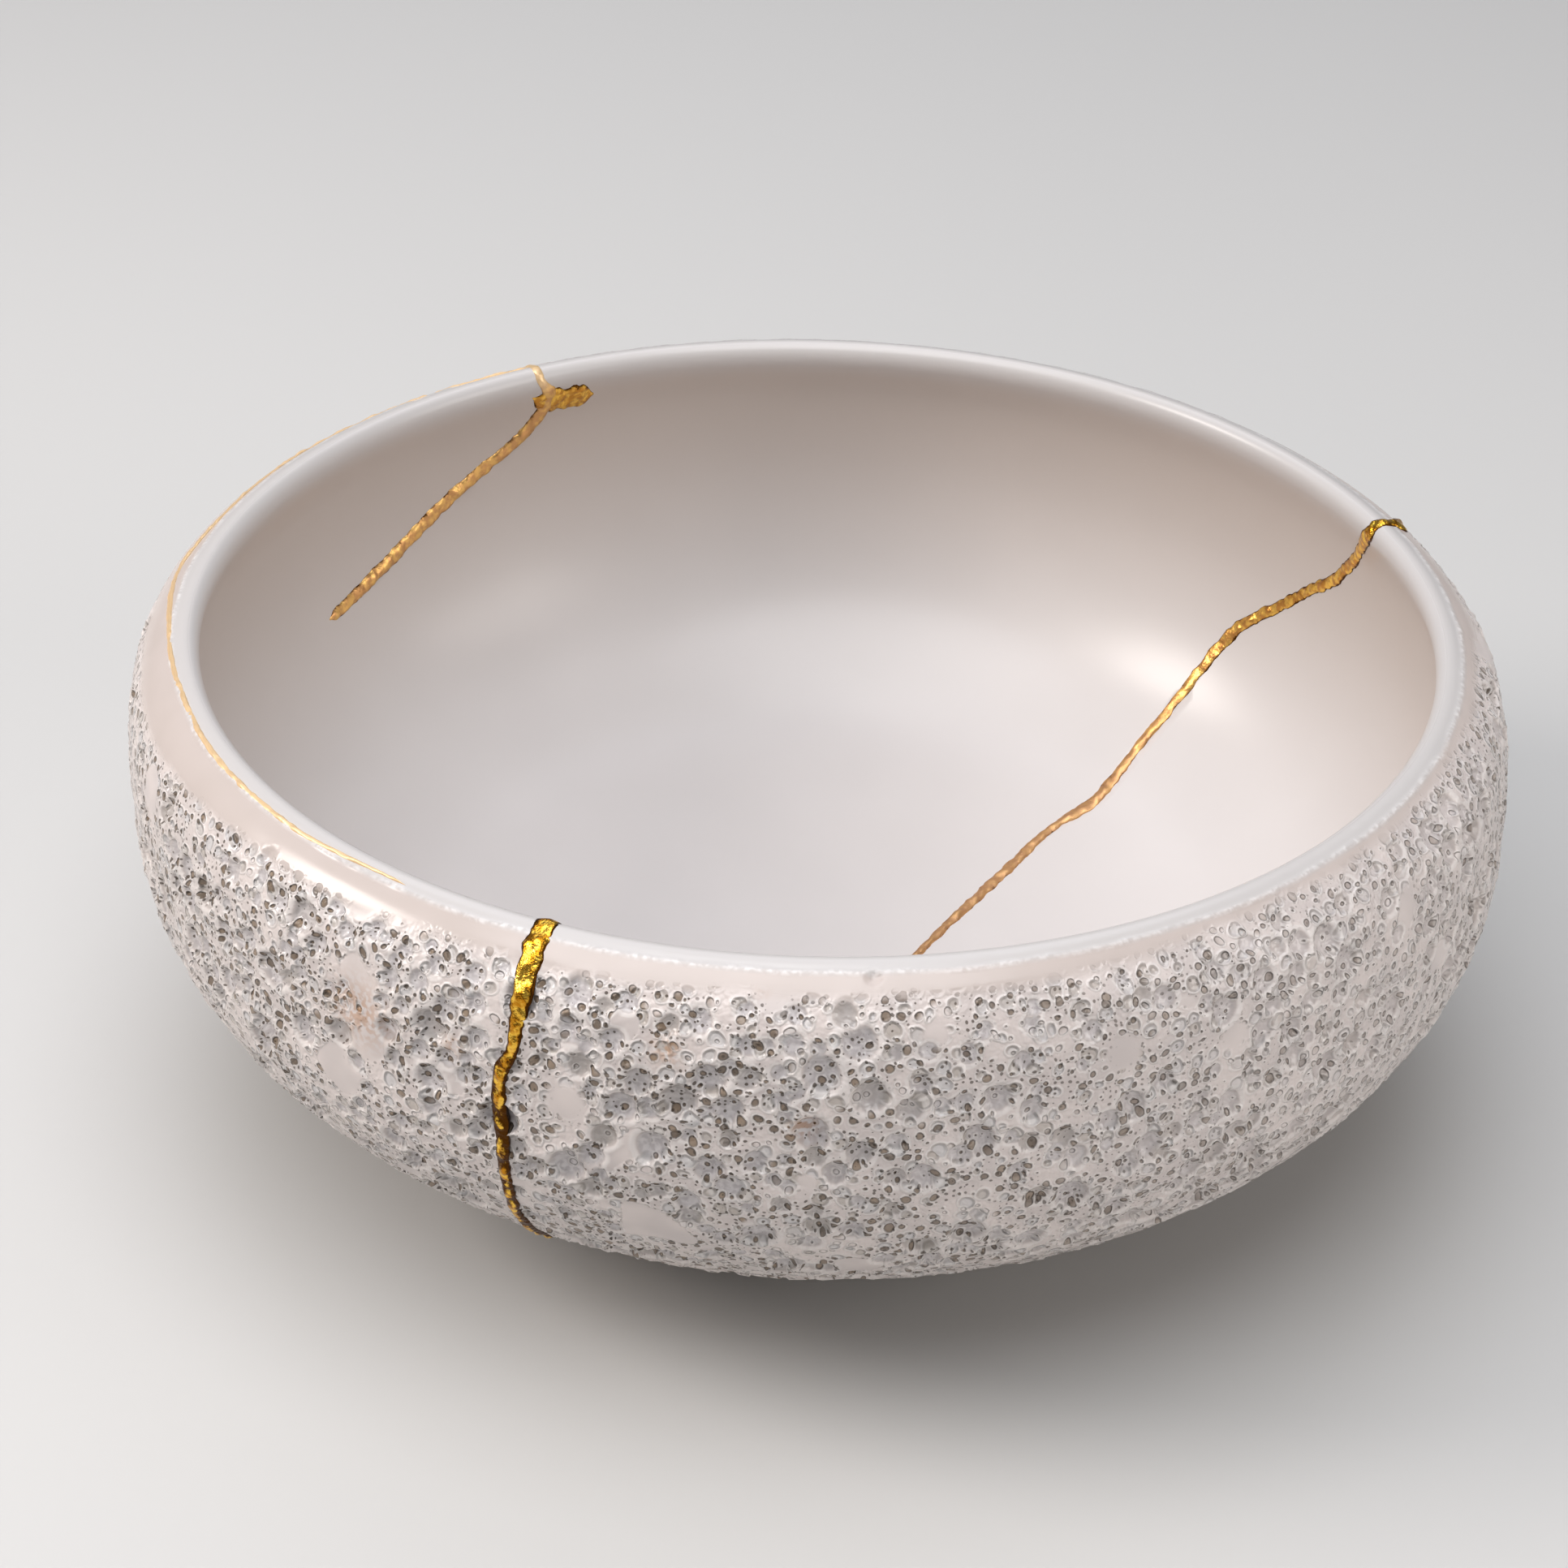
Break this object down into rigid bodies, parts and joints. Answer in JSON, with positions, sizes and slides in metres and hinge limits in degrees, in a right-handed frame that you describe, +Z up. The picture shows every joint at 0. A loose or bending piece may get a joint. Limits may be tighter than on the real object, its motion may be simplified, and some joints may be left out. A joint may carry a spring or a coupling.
{
  "type": "kintsugi bowl",
  "caption": "Wide low stoneware bowl with a crater-glazed outside and a smooth inside, broken in two and joined with gold lacquer.",
  "frame": {"origin": "on the surface the bowl stands on, under the middle of its belly", "axes": "+Z up through the mouth, +X to the right and +Y away from the side on which the long gold joint runs down from the rim"},
  "size_m": [0.1501, 0.15, 0.0587],
  "materials": {
    "glazed_stoneware": "glossy",
    "gold_lacquer": "polished"
  },
  "bodies": {
    "root": {"left_shard": "glazed_stoneware", "right_shard": "glazed_stoneware", "gold_joint": "gold_lacquer", "gold_back_crack": "gold_lacquer"}
  },
  "joints": []
}
